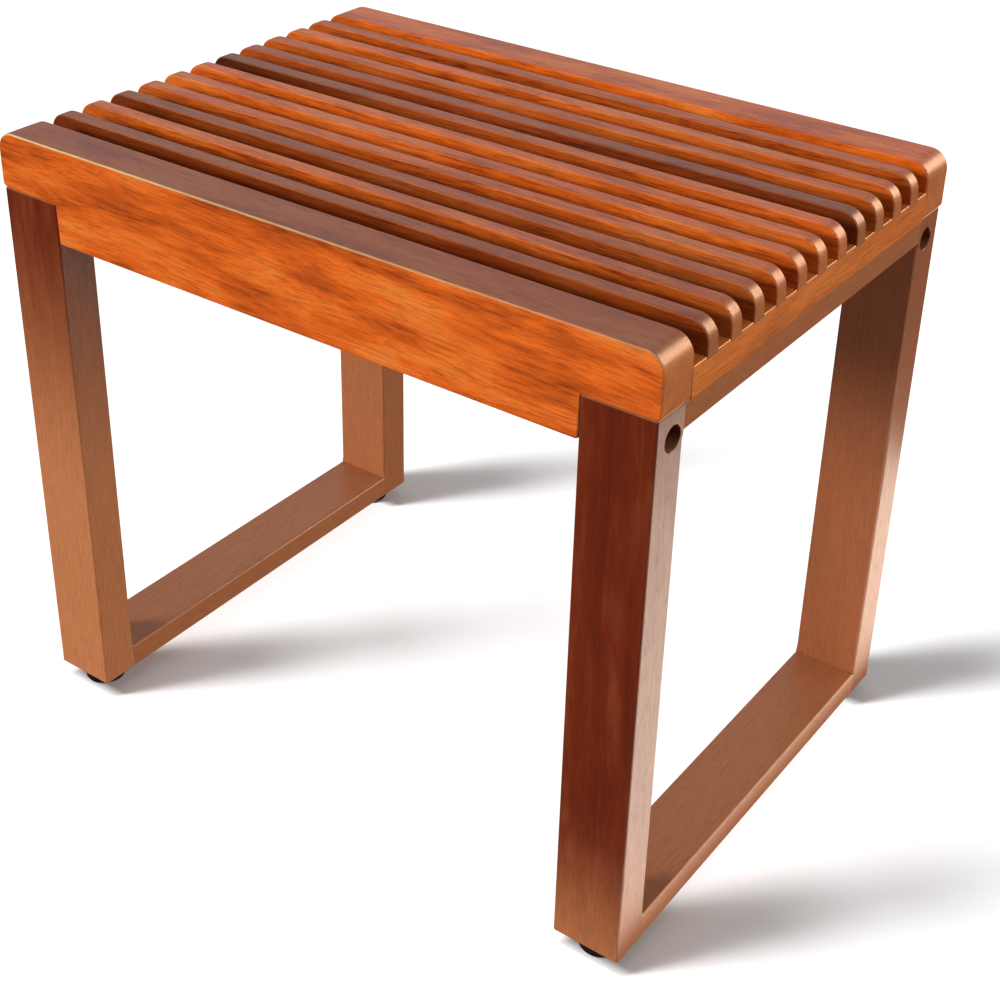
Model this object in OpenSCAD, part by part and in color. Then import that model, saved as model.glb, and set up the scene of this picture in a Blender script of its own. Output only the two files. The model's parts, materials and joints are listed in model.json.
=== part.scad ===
// Slatted hardwood shower stool: a slatted seat on two closed leg frames with levelling feet.
// Millimetres. +Z is up, +X runs along the slats, and the origin is on the floor under the middle.

/* [Seat] */
// Length of the seat along the slats
seat_length = 470; // [380:5:600]
// Depth of the seat from front to back
seat_depth = 335; // [290:5:420]
// Height of the seat's top above the floor
seat_height = 412; // [340:2:500]
// Thickness of the front, back and end rails
rail_thickness = 29; // [24:1:38]
// Height of the front and back rails where they pass over the legs
rail_end_height = 36.5; // [33:0.5:46]
// Depth to which the front and back rails reach down between the legs
rail_drop = 26.5; // [26:0.5:40]
// Radius of the rounded upper corners of rails and slats
end_radius = 12; // [4:1:16]
// Width of a slat
slat_width = 10.5; // [9:0.5:14]
// Height of a slat
slat_height = 20; // [17:0.5:22]
// Depth to which the slats are let into the end rails
slat_housing = 2; // [1:0.5:4]

/* [Leg frames] */
// Width of the frame members along the seat's length
member_width = 45; // [38:1:60]
// Thickness of a leg from front to back
leg_thickness = 26.5; // [25:0.5:36]
// Thickness of the frame's top rail and of its stretcher
cross_thickness = 17; // [15:1:22]
// Distance by which a frame's outer face is set in from the seat end
frame_inset = 1.5; // [0:0.5:10]
// Radius of the eased edges
edge_radius = 1.5; // [0.5:0.25:3]

/* [Fasteners] */
// Diameter of the dowels in the frame corners and rail ends
dowel_diameter = 8; // [6:1:8]
// Length of a dowel
dowel_length = 30; // [24:1:36]
// Diameter of the hole that hides a bolt head
bolt_hole_diameter = 15; // [14.5:0.5:17]
// Depth of the hole that hides a bolt head
bolt_hole_depth = 14; // [10:1:15]
// Thread diameter of the frame bolts
bolt_diameter = 6; // [5:1:6]
// Distance from a leg's outer face to its bolt's axis
bolt_from_face = 16; // [14:0.5:16]
// Distance from the top of a leg to its bolt's axis
bolt_from_top = 16.5; // [16:0.5:17.5]
// Diameter of a barrel nut
barrel_nut_diameter = 10; // [9:1:12]

/* [Feet] */
// Diameter of a foot pad
foot_diameter = 28; // [24:1:34]
// Height of a foot pad
foot_height = 10; // [8:0.5:14]
// Gap between a foot pad and its leg when it is screwed fully in
foot_gap = 1.5; // [1:0.5:4]
// Distance from a frame's front or back face to the foot's axis
foot_from_face = 19; // [17:0.5:20]
// Thread diameter of a foot's stud
stud_diameter = 8; // [6:1:8]
// How far a foot screws out
foot_travel = 10; // [4:1:14]

/* [Hidden] */

// Radial clearance of a glued or pressed piece, and of a turning or sliding shaft
fit_gap = 0.1;
running_gap = 0.05;
// Clearance between a side rail's end and the leg it is bolted to
rail_gap = 0.15;
// Length by which cutting shapes run past a face
over = 1;
$fn = 64;

left = -1;
right = 1;
front = -1;
back = 1;

// Seat
slat_count = 11;
rail_height = rail_end_height + rail_drop;
rail_base = seat_height - rail_height;
frame_top = seat_height - rail_end_height;
slat_base = seat_height - slat_height;
end_rail_top = slat_base + slat_housing;
end_rail_height = end_rail_top - frame_top;
bay_depth = seat_depth - 2 * rail_thickness;
slat_gap = (bay_depth - slat_count * slat_width) / (slat_count + 1);
slat_pitch = slat_gap + slat_width;
side_rail_y = (seat_depth - rail_thickness) / 2;
end_rail_x = (seat_length - rail_thickness) / 2;
// Radius of the side rails' lower outer corners
rail_foot_radius = 3;

// Leg frames
leg_base = foot_height + foot_gap;
leg_height = frame_top - leg_base;
frame_x = seat_length / 2 - frame_inset;
member_x = frame_x - member_width / 2;
leg_y = (seat_depth - leg_thickness) / 2;
cross_length = seat_depth - 2 * leg_thickness;
between_legs = 2 * (frame_x - member_width - rail_gap);

// Dowels of the end rails
seat_dowel_z = (frame_top + end_rail_top) / 2;
seat_dowel_spread = 13;

// Feet
foot_x = member_x;
foot_y = seat_depth / 2 - foot_from_face;
stud_in_pad = 6;
stud_grip = 14;
stud_in_leg = foot_travel + stud_grip;
stud_plate_diameter = 13;
stud_plate_height = 2.5;
insert_wall = 1.5;
insert_diameter = stud_diameter + 2 * insert_wall;
insert_length = 18;
insert_flange_diameter = 16;
insert_flange_height = 1;
pad_edge_radius = 2;

// Dowels of the leg frames, across the member and up. The lower ones keep clear of the foot inserts
// and the upper ones of the bolts
dowel_wall = 1.75;
lower_dowel_offset = (insert_diameter + dowel_diameter) / 2 + dowel_wall;
upper_dowel_offset = member_width / 3;
lower_dowel_z = leg_base + cross_thickness / 2;
upper_dowel_z = frame_top - 7.5;
frame_dowel_places = [
    [member_x - lower_dowel_offset, lower_dowel_z],
    [member_x + lower_dowel_offset, lower_dowel_z],
    [member_x - upper_dowel_offset, upper_dowel_z],
    [member_x, upper_dowel_z]
];

// Slat screws
screw_diameter = 3.5;
screw_head_diameter = 7;
screw_head_height = 3;
screw_bite = 12;
screw_length = slat_base - frame_top + screw_bite;

// Frame bolts, washers and barrel nuts
bolt_y = seat_depth / 2 - bolt_from_face;
bolt_z = frame_top - bolt_from_top;
bolt_seat_x = frame_x - bolt_hole_depth;
bolt_head_diameter = 10;
bolt_head_height = 6;
key_across = 5;
key_depth = 3;
washer_diameter = 14;
washer_thickness = 1.5;
bolt_in_rail = 34;
nut_in_rail = 24;
bolt_tip_x = frame_x - member_width - bolt_in_rail;
nut_x = frame_x - member_width - nut_in_rail;
nut_length = 16;
nut_base = bolt_z - nut_length / 2;

// ---- Shared shapes ----

// Rectangle with its corner at the origin and round corners
module round_rectangle(size, radius) {
    translate([radius, 0]) square([size[0] - 2 * radius, size[1]]);
    translate([0, radius]) square([size[0], size[1] - 2 * radius]);
    for (x = [radius, size[0] - radius], y = [radius, size[1] - radius])
        translate([x, y]) circle(radius);
}

// Carries a section, drawn as height and depth from the origin, along X over a centred length
module along_x(length, depth) {
    translate([length / 2, -depth / 2, 0]) rotate([0, -90, 0]) linear_extrude(length) children();
}

// Stands an outline, drawn in X and Z, upright with the given thickness centred on Y
module upright(thickness) {
    translate([0, thickness / 2, 0]) rotate([90, 0, 0]) linear_extrude(thickness) children();
}

// Board outline: centred on X, standing on zero, with round upper corners
module round_top_outline(length, height, radius) {
    translate([-length / 2, 0]) square([length, height - radius]);
    translate([radius - length / 2, 0]) square([length - 2 * radius, height]);
    for (side = [left, right])
        translate([side * (length / 2 - radius), height - radius]) circle(radius);
}

// Moves what is drawn at the back right corner to another corner, mirrored
module at_corner(x, y) {
    mirror([x < 0 ? 1 : 0, 0, 0]) mirror([0, y < 0 ? 1 : 0, 0]) children();
}

module at_corners() {
    for (x = [left, right], y = [front, back]) at_corner(x, y) children();
}

// Rod along X, starting at the origin
module rod_x(length, diameter) {
    rotate([0, 90, 0]) cylinder(h = length, d = diameter);
}

// Rod along Y, centred on the origin
module rod_y(length, diameter) {
    rotate([90, 0, 0]) cylinder(h = length, d = diameter, center = true);
}

// ---- Seat ----

function slat_y(index) = (index - (slat_count + 1) / 2) * slat_pitch;

// Side outline of a front or back rail, from its lower edge up: notched over the legs
module side_rail_outline() {
    translate([-between_legs / 2, 0]) square([between_legs, rail_drop + over]);
    difference() {
        translate([0, rail_drop]) round_top_outline(seat_length, rail_end_height, end_radius);
        for (side = [left, right]) mirror([side < 0 ? 1 : 0, 0])
            translate([seat_length / 2 - rail_foot_radius, rail_drop]) difference() {
                square(2 * rail_foot_radius);
                translate([0, rail_foot_radius]) circle(rail_foot_radius);
                translate([0, rail_foot_radius]) square(2 * rail_foot_radius);
            }
    }
}

// Dowels between an end rail and a side rail
module seat_dowel_pair(length, diameter) {
    for (x = [-seat_dowel_spread / 2, seat_dowel_spread / 2])
        translate([end_rail_x + x, bay_depth / 2, seat_dowel_z]) rod_y(length, diameter);
}

module seat_dowel_holes() {
    seat_dowel_pair(dowel_length + 2 * fit_gap, dowel_diameter + 2 * fit_gap);
}

// Holes in a side rail for a bolt and, from below, for its barrel nut
module bolt_and_nut_holes() {
    translate([bolt_tip_x - over, bolt_y, bolt_z])
        rod_x(bolt_in_rail + member_width, bolt_diameter + 2 * fit_gap);
    translate([nut_x, bolt_y, rail_base - over])
        cylinder(h = nut_base + nut_length + fit_gap - rail_base + over,
            d = barrel_nut_diameter + 2 * fit_gap);
}

module side_rail(y) {
    color("#b8622a") difference() {
        translate([0, y * side_rail_y, rail_base]) intersection() {
            upright(rail_thickness) side_rail_outline();
            along_x(seat_length, rail_thickness)
                round_rectangle([rail_height, rail_thickness], edge_radius);
        }
        for (x = [left, right]) at_corner(x, y) {
            seat_dowel_holes();
            bolt_and_nut_holes();
        }
    }
}

// Screw up from the underside of an end rail into a slat, with a countersunk head
module slat_screw(x, index, gap) {
    translate([x * end_rail_x, slat_y(index), frame_top]) {
        cylinder(h = screw_length + gap, d = screw_diameter + 2 * gap);
        cylinder(h = screw_head_height, d1 = screw_head_diameter + 2 * gap, d2 = screw_diameter + 2 * gap);
    }
}

// Slats are eased above and square below, where they are let into the end rails
module slat(index, finish = "#a5562a") {
    color(finish) difference() {
        translate([0, slat_y(index), slat_base]) intersection() {
            upright(slat_width) round_top_outline(seat_length, slat_height, end_radius);
            along_x(seat_length, slat_width) {
                round_rectangle([slat_height, slat_width], edge_radius);
                square([slat_height / 2, slat_width]);
            }
        }
        for (x = [left, right]) slat_screw(x, index, fit_gap);
    }
}

module end_rail(x) {
    color("#b06a3c") difference() {
        translate([x * end_rail_x, 0, frame_top]) rotate([0, 0, 90]) along_x(bay_depth, rail_thickness)
            round_rectangle([end_rail_height, rail_thickness], edge_radius);
        for (index = [1 : slat_count]) {
            translate([x * end_rail_x - rail_thickness, slat_y(index) - slat_width / 2, slat_base])
                cube([2 * rail_thickness, slat_width, slat_height]);
            slat_screw(x, index, fit_gap);
        }
        for (y = [front, back]) at_corner(x, y) seat_dowel_holes();
    }
}

module slat_screws() {
    color("silver") for (x = [left, right], index = [1 : slat_count]) slat_screw(x, index, 0);
}

module seat_dowels() {
    color("burlywood") at_corners() seat_dowel_pair(dowel_length, dowel_diameter);
}

// ---- Leg frames ----

// Dowels of the back right leg
module leg_dowels(length, diameter) {
    for (place = frame_dowel_places)
        translate([place[0], seat_depth / 2 - leg_thickness, place[1]]) rod_y(length, diameter);
}

module leg_dowel_holes() {
    leg_dowels(dowel_length + 2 * fit_gap, dowel_diameter + 2 * fit_gap);
}

// What a foot and its insert take out of the frame above them
module foot_hole() {
    translate([foot_x, foot_y, leg_base]) {
        translate([0, 0, -over])
            cylinder(h = insert_flange_height + fit_gap + over, d = insert_flange_diameter + 2 * fit_gap);
        cylinder(h = insert_length + fit_gap, d = insert_diameter + 2 * fit_gap);
        cylinder(h = stud_in_leg + over, d = stud_diameter + 2 * running_gap);
    }
}

// Legs are eased on their outer edges and square where the frame's cross members meet them
module leg(x, y) {
    color("#8a4526") at_corner(x, y) difference() {
        translate([member_x - member_width / 2, leg_y - leg_thickness / 2, leg_base])
            linear_extrude(leg_height) {
                round_rectangle([member_width, leg_thickness], edge_radius);
                square([member_width, leg_thickness / 2]);
            }
        leg_dowel_holes();
        translate([bolt_seat_x, bolt_y, bolt_z]) rod_x(bolt_hole_depth + over, bolt_hole_diameter);
        translate([bolt_tip_x, bolt_y, bolt_z])
            rod_x(bolt_in_rail + member_width, bolt_diameter + 2 * fit_gap);
        foot_hole();
    }
}

// Cross members stand on their base, with their long edges eased
module cross_member(x, base) {
    color("#9c5a36") difference() {
        translate([x * member_x, 0, base]) rotate([0, 0, 90]) along_x(cross_length, member_width)
            round_rectangle([cross_thickness, member_width], edge_radius);
        for (y = [front, back]) at_corner(x, y) {
            leg_dowel_holes();
            foot_hole();
        }
    }
}

module top_rail(x) {
    cross_member(x, frame_top - cross_thickness);
}

module stretcher(x) {
    cross_member(x, leg_base);
}

module frame_dowels() {
    color("burlywood") at_corners() leg_dowels(dowel_length, dowel_diameter);
}

// ---- Bolts ----

module frame_bolts() {
    head_x = bolt_seat_x + washer_thickness;
    color("dimgray") at_corners() translate([0, bolt_y, bolt_z]) difference() {
        union() {
            translate([bolt_tip_x, 0, 0]) rod_x(head_x - bolt_tip_x, bolt_diameter);
            translate([head_x, 0, 0]) rod_x(bolt_head_height, bolt_head_diameter);
        }
        translate([head_x + bolt_head_height - key_depth, 0, 0]) rotate([0, 90, 0])
            cylinder(h = key_depth + over, d = key_across / cos(30), $fn = 6);
    }
}

module bolt_washers() {
    color("silver") at_corners() translate([bolt_seat_x, bolt_y, bolt_z]) difference() {
        rod_x(washer_thickness, washer_diameter);
        translate([-over, 0, 0]) rod_x(washer_thickness + 2 * over, bolt_diameter + 2 * fit_gap);
    }
}

module barrel_nuts() {
    color("silver") at_corners() difference() {
        translate([nut_x, bolt_y, nut_base]) cylinder(h = nut_length, d = barrel_nut_diameter);
        translate([nut_x - barrel_nut_diameter, bolt_y, bolt_z])
            rod_x(2 * barrel_nut_diameter, bolt_diameter + 2 * running_gap);
    }
}

// ---- Feet ----

module foot_inserts() {
    color("goldenrod") at_corners() translate([foot_x, foot_y, leg_base]) difference() {
        union() {
            cylinder(h = insert_flange_height, d = insert_flange_diameter);
            cylinder(h = insert_length, d = insert_diameter);
        }
        translate([0, 0, -over])
            cylinder(h = insert_length + 2 * over, d = stud_diameter + 2 * running_gap);
    }
}

// Threaded rod on a plate that sits inside the pad, grown by a gap
module stud_shape(gap) {
    translate([0, 0, foot_height - stud_in_pad]) {
        translate([0, 0, -gap])
            cylinder(h = stud_plate_height + 2 * gap, d = stud_plate_diameter + 2 * gap);
        cylinder(h = stud_in_pad + foot_gap + stud_in_leg, d = stud_diameter + 2 * gap);
    }
}

module foot_stud(x, y) {
    color("silver") at_corner(x, y) translate([foot_x, foot_y, 0]) stud_shape(0);
}

module foot_pad(x, y) {
    color("#202020") at_corner(x, y) translate([foot_x, foot_y, 0]) difference() {
        rotate_extrude() intersection() {
            translate([-foot_diameter / 2, 0])
                round_rectangle([foot_diameter, foot_height], pad_edge_radius);
            square([foot_diameter, foot_height]);
        }
        stud_shape(running_gap);
    }
}

side_rail(front);  // front_rail
side_rail(back);  // back_rail
end_rail(left);  // end_rail_left
end_rail(right);  // end_rail_right
slat_screws();
seat_dowels();
slat(1);  // slat_01
slat(2);  // slat_02
slat(3);  // slat_03
slat(4);  // slat_04
slat(5);  // slat_05
slat(6);  // slat_06
slat(7);  // slat_07
slat(8, "#4a1f10");  // slat_08
slat(9);  // slat_09
slat(10);  // slat_10
slat(11);  // slat_11
leg(left, front);  // leg_front_left
leg(left, back);  // leg_back_left
leg(right, front);  // leg_front_right
leg(right, back);  // leg_back_right
top_rail(left);  // top_rail_left
top_rail(right);  // top_rail_right
stretcher(left);  // stretcher_left
stretcher(right);  // stretcher_right
frame_dowels();
frame_bolts();
bolt_washers();
barrel_nuts();
foot_inserts();
foot_stud(left, front);  // foot_stud_front_left
foot_stud(left, back);  // foot_stud_back_left
foot_stud(right, front);  // foot_stud_front_right
foot_stud(right, back);  // foot_stud_back_right
foot_pad(left, front);  // foot_pad_front_left
foot_pad(left, back);  // foot_pad_back_left
foot_pad(right, front);  // foot_pad_front_right
foot_pad(right, back);  // foot_pad_back_right
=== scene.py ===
"""Looks of a slatted shower stool in lacquered hardwood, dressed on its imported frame."""

from __future__ import annotations

import json
import logging
import math
from collections.abc import Callable
from dataclasses import dataclass, field
from enum import Enum
from functools import partial

import bpy
import numpy as np
from mathutils import Matrix, Vector

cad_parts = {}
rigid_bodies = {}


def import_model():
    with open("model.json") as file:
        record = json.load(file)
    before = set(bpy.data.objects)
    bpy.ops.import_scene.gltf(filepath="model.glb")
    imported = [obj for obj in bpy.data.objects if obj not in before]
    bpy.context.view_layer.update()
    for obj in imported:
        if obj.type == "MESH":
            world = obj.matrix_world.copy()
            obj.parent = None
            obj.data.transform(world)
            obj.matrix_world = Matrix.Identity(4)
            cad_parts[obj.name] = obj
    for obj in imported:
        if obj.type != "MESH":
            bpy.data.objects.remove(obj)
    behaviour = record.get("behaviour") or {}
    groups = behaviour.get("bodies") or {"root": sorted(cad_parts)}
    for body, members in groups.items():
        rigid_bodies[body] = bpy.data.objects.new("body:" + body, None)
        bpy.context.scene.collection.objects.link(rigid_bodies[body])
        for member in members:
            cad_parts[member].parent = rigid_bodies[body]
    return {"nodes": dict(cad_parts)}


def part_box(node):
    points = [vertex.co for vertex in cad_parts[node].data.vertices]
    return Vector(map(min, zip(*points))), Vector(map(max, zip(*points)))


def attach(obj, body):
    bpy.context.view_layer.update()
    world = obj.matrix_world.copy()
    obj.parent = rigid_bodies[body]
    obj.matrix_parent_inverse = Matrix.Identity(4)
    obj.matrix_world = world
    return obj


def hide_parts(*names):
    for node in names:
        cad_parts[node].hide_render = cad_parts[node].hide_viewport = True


LOG = logging.getLogger("shower_stool")
MM = 0.001
SLAT_COUNT = 11
SIDES = ("left", "right")
CORNERS = ("front_left", "back_left", "front_right", "back_right")


# ---- Small helpers ----


def linear(colour: str) -> tuple[float, float, float, float]:
    """Turns an sRGB hex colour to linear light.

    Args:
        colour: six hex digits after a hash.

    Returns:
        Red, green and blue in linear light, and an alpha of one.
    """
    parts = np.array([int(colour[i : i + 2], 16) for i in (1, 3, 5)]) / 255
    low, high = parts / 12.92, ((parts + 0.055) / 1.055) ** 2.4
    red, green, blue = np.where(parts <= 0.04045, low, high).tolist()
    return red, green, blue, 1.0


def add_node(
    tree: bpy.types.NodeTree, kind: str, links: dict | None = None, take: int | str = 0, **settings
) -> bpy.types.NodeSocket:
    """Adds a node, sets it and links it.

    Args:
        tree: node tree that gets the node.
        kind: Blender's name for the kind of node.
        links: input name or number to a value, or to an output that is linked to it.
        take: name or number of the output to give back.
        settings: properties of the node.

    Returns:
        One of the new node's outputs.
    """
    node = tree.nodes.new(kind)
    for name, value in settings.items():
        setattr(node, name, value)
    for name, value in (links or {}).items():
        if isinstance(value, bpy.types.NodeSocket):
            tree.links.new(value, node.inputs[name])
        else:
            node.inputs[name].default_value = value
    return node.outputs[take]


def blank_material(name: str) -> tuple[bpy.types.Material, Callable[..., bpy.types.NodeSocket], Callable]:
    """Starts a material.

    Args:
        name: its name.

    Returns:
        The material, add_node bound to its tree, and a function that links or sets an input of its
        surface shader.
    """
    material = bpy.data.materials.new(name)
    material.use_nodes = True
    tree = material.node_tree
    shader = tree.nodes["Principled BSDF"]

    def feed(**inputs) -> None:
        """Links or sets the shader's inputs, named with underscores for spaces."""
        for key, value in inputs.items():
            socket = shader.inputs[key.replace("_", " ")]
            if isinstance(value, bpy.types.NodeSocket):
                tree.links.new(value, socket)
            else:
                socket.default_value = value

    return material, partial(add_node, tree), feed


# ---- Surfaces ----


@dataclass
class Surface:
    """A closed surface in the making: points, faces, corner normals and how eased each point is."""

    points: list[np.ndarray] = field(default_factory=list)
    arris: list[np.ndarray] = field(default_factory=list)
    faces: list[np.ndarray] = field(default_factory=list)
    normals: list[np.ndarray] = field(default_factory=list)

    def add_points(self, points: np.ndarray, arris: np.ndarray | float = 0.0) -> np.ndarray:
        """Adds points to the surface.

        Args:
            points: array of any shape whose last axis is x, y and z.
            arris: 1 on the middle of an eased edge and 0 on a flat, one for each point.

        Returns:
            The points' numbers, in the same shape.
        """
        start = sum(len(block) for block in self.points)
        shape = points.shape[:-1]
        self.points.append(points.reshape(-1, 3))
        self.arris.append(np.broadcast_to(arris, shape).reshape(-1))
        return start + np.arange(int(np.prod(shape))).reshape(shape)

    def add_faces(self, corners: np.ndarray, normals: np.ndarray) -> None:
        """Adds faces with the same number of corners, wound so that they face along their normals.

        A face's own direction is the sum of the cross products of its neighbouring corners.

        Args:
            corners: point numbers, one row for each face.
            normals: one outward normal for each corner of each face.
        """
        normals = np.broadcast_to(normals, (*corners.shape, 3))
        place = np.concatenate(self.points)[corners]
        middle = place.mean(1, keepdims=True)
        turn = np.cross(place - middle, np.roll(place - middle, -1, 1)).sum(1)
        backward = (turn * normals.mean(1)).sum(-1) < 0
        self.faces.append(np.where(backward[:, None], corners[:, ::-1], corners))
        self.normals.append(np.where(backward[:, None, None], normals[:, ::-1], normals))

    def add_grid(self, index: np.ndarray, normals: np.ndarray, skip: np.ndarray | None = None) -> None:
        """Adds the squares between the rows and columns of a grid of points.

        Args:
            index: point numbers in rows and columns.
            normals: a normal for each of them.
            skip: true for the squares that are left out.
        """
        keep = np.ones((index.shape[0] - 1, index.shape[1] - 1), bool) if skip is None else ~skip

        def corners(grid: np.ndarray) -> np.ndarray:
            """The four corners of each kept square."""
            around = (grid[:-1, :-1], grid[:-1, 1:], grid[1:, 1:], grid[1:, :-1])
            return np.stack([part[keep] for part in around], 1)

        self.add_faces(corners(index), corners(normals))

    def add_turning(
        self,
        radius: np.ndarray,
        height: np.ndarray,
        origin: np.ndarray,
        frame: np.ndarray,
        loop: bool = False,
    ) -> None:
        """Adds a turned shape: a profile swept round an axis.

        The point at a bearing lies at radius times its cosine and sine across the axis, and at its
        height along it. A profile runs up the outside; it starts and ends on the axis, or is a loop.

        Args:
            radius: radius for each row of the profile and each bearing round the axis.
            height: height of each row.
            origin: the axis's zero point.
            frame: the turning's own three axes, one in each row.
            loop: true if the last row joins the first, as in a ring.
        """
        steps = radius.shape[1]
        bearing = np.arange(steps) / steps * 2 * np.pi
        rise = np.broadcast_to(height[:, None], radius.shape)
        local = np.stack([radius * np.cos(bearing), radius * np.sin(bearing), rise], -1)
        points = local @ frame + origin
        index = self.add_points(points if loop else points[1:-1])
        index = np.concatenate([index, index[:, :1]], 1)
        if loop:
            index = np.concatenate([index, index[:1]])
        else:
            poles = self.add_points(points[[0, -1], 0])
            first, last = (np.full(steps, pole) for pole in poles)
            self.faces.append(np.stack([first, index[0, 1:], index[0, :-1]], -1))
            self.faces.append(np.stack([last, index[-1, :-1], index[-1, 1:]], -1))
        around = (index[:-1, :-1], index[:-1, 1:], index[1:, 1:], index[1:, :-1])
        self.faces.append(np.stack(around, -1).reshape(-1, 4))

    def mesh(self, name: str) -> bpy.types.Mesh:
        """Puts the surface into a Blender mesh.

        Args:
            name: name of the mesh.

        Returns:
            The mesh, with its corner normals and its arris attribute.
        """
        mesh = bpy.data.meshes.new(name)
        points = np.concatenate(self.points)
        mesh.from_pydata(points.tolist(), [], [row for block in self.faces for row in block.tolist()])
        mesh.attributes.new("arris", "FLOAT", "POINT").data.foreach_set(
            "value", np.concatenate(self.arris).astype(np.float32)
        )
        mesh.polygons.foreach_set("use_smooth", np.ones(len(mesh.polygons), bool))
        if self.normals:
            corner_normals = np.concatenate([block.reshape(-1, 3) for block in self.normals])
            mesh.normals_split_custom_set(corner_normals.tolist())
        else:
            mesh.set_sharp_from_angle(angle=math.radians(32))
        mesh.update()
        return mesh


@dataclass
class Outline:
    """A closed flat outline: its points, their outward normals and the corner that each belongs to."""

    points: np.ndarray
    normals: np.ndarray
    corner: np.ndarray


def round_corners(corners: np.ndarray, radii: np.ndarray, steps: int = 6) -> Outline:
    """Rounds the corners of a polygon that runs anticlockwise.

    Each arc starts at the normal of the side before its corner and turns to that of the side after it.
    Its centre lies off the corner, along the sum of the two normals, inwards where the corner is
    convex and outwards where it is hollow.

    Args:
        corners: the polygon's corners, two numbers each.
        radii: radius of each corner.
        steps: straight pieces in each arc.

    Returns:
        The rounded outline.
    """
    arriving = corners - np.roll(corners, 1, 0)
    arriving /= np.linalg.norm(arriving, axis=1, keepdims=True)
    leaving = np.roll(arriving, -1, 0)
    before = np.stack([arriving[:, 1], -arriving[:, 0]], 1)
    after = np.stack([leaving[:, 1], -leaving[:, 0]], 1)
    turn = np.arctan2(
        arriving[:, 0] * leaving[:, 1] - arriving[:, 1] * leaving[:, 0], (arriving * leaving).sum(1)
    )
    bulge = np.sign(turn) * radii
    reach = (before + after) / (1 + (before * after).sum(1, keepdims=True))
    centre = corners - reach * bulge[:, None]
    angle = turn[:, None] * np.linspace(0, 1, steps + 1)
    cos, sin = np.cos(angle), np.sin(angle)
    x, y = before[:, :1], before[:, 1:]
    normals = np.stack([x * cos - y * sin, x * sin + y * cos], -1)
    points = centre[:, None] + normals * bulge[:, None, None]
    corner = np.repeat(np.arange(len(corners)), steps + 1)
    return Outline(points.reshape(-1, 2), normals.reshape(-1, 2), corner)


def eased_slab(
    outline: Outline,
    low: float,
    high: float,
    ease: np.ndarray,
    axes: tuple[int, int, int],
    caps: list[np.ndarray] | None = None,
    steps: int = 5,
) -> Surface:
    """Carries an eased edge round an outline and closes both faces.

    Across the thickness the profile is a quarter circle, a flat and a quarter circle: at angle a from
    the face, a point stands in by ease times one less sin a, and up by ease times one less cos a.

    Args:
        outline: the slab's outline.
        low: place of the lower face along the third axis.
        high: place of the upper face.
        ease: radius of the eased edge at each outline point.
        axes: world axes of the outline's two coordinates and of the thickness.
        caps: outline points of each part of a face, or nothing for faces in one part.
        steps: straight pieces in each quarter circle.

    Returns:
        The closed surface.
    """
    angle = np.linspace(0, np.pi / 2, steps + 1)
    sin, cos = np.sin(angle)[:, None], np.cos(angle)[:, None]
    inset = ease * (1 - sin)
    rise = ease * (1 - cos)
    rows = np.concatenate([inset, inset[::-1]])
    depth = np.concatenate([low + rise, (high - rise)[::-1]])
    across = np.concatenate([sin, sin[::-1]])
    along = np.concatenate([-cos, cos[::-1]])
    flat = outline.points - outline.normals * rows[..., None]
    points = np.empty((*depth.shape, 3))
    normals = np.empty_like(points)
    points[..., axes[0]], points[..., axes[1]], points[..., axes[2]] = flat[..., 0], flat[..., 1], depth
    normals[..., axes[0]] = outline.normals[:, 0] * across
    normals[..., axes[1]] = outline.normals[:, 1] * across
    normals[..., axes[2]] = along
    surface = Surface()
    eased = np.sin(2 * np.concatenate([angle, angle[::-1]]))[:, None] * np.minimum(ease / MM, 1)
    index = surface.add_points(points, eased)
    wrapped = np.concatenate([index, index[:, :1]], 1)
    surface.add_grid(wrapped, np.concatenate([normals, normals[:, :1]], 1))
    for part in caps or [np.arange(len(outline.points))]:
        surface.add_faces(index[:1, part], -np.eye(3)[axes[2]])
        surface.add_faces(index[-1:, part], np.eye(3)[axes[2]])
    return surface


# ---- Wood ----


class Run(Enum):
    """Axis of the stool along which a board's grain runs, then the two axes across it."""

    LENGTH = (0, 1, 2)
    DEPTH = (1, 0, 2)
    HEIGHT = (2, 0, 1)


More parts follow.
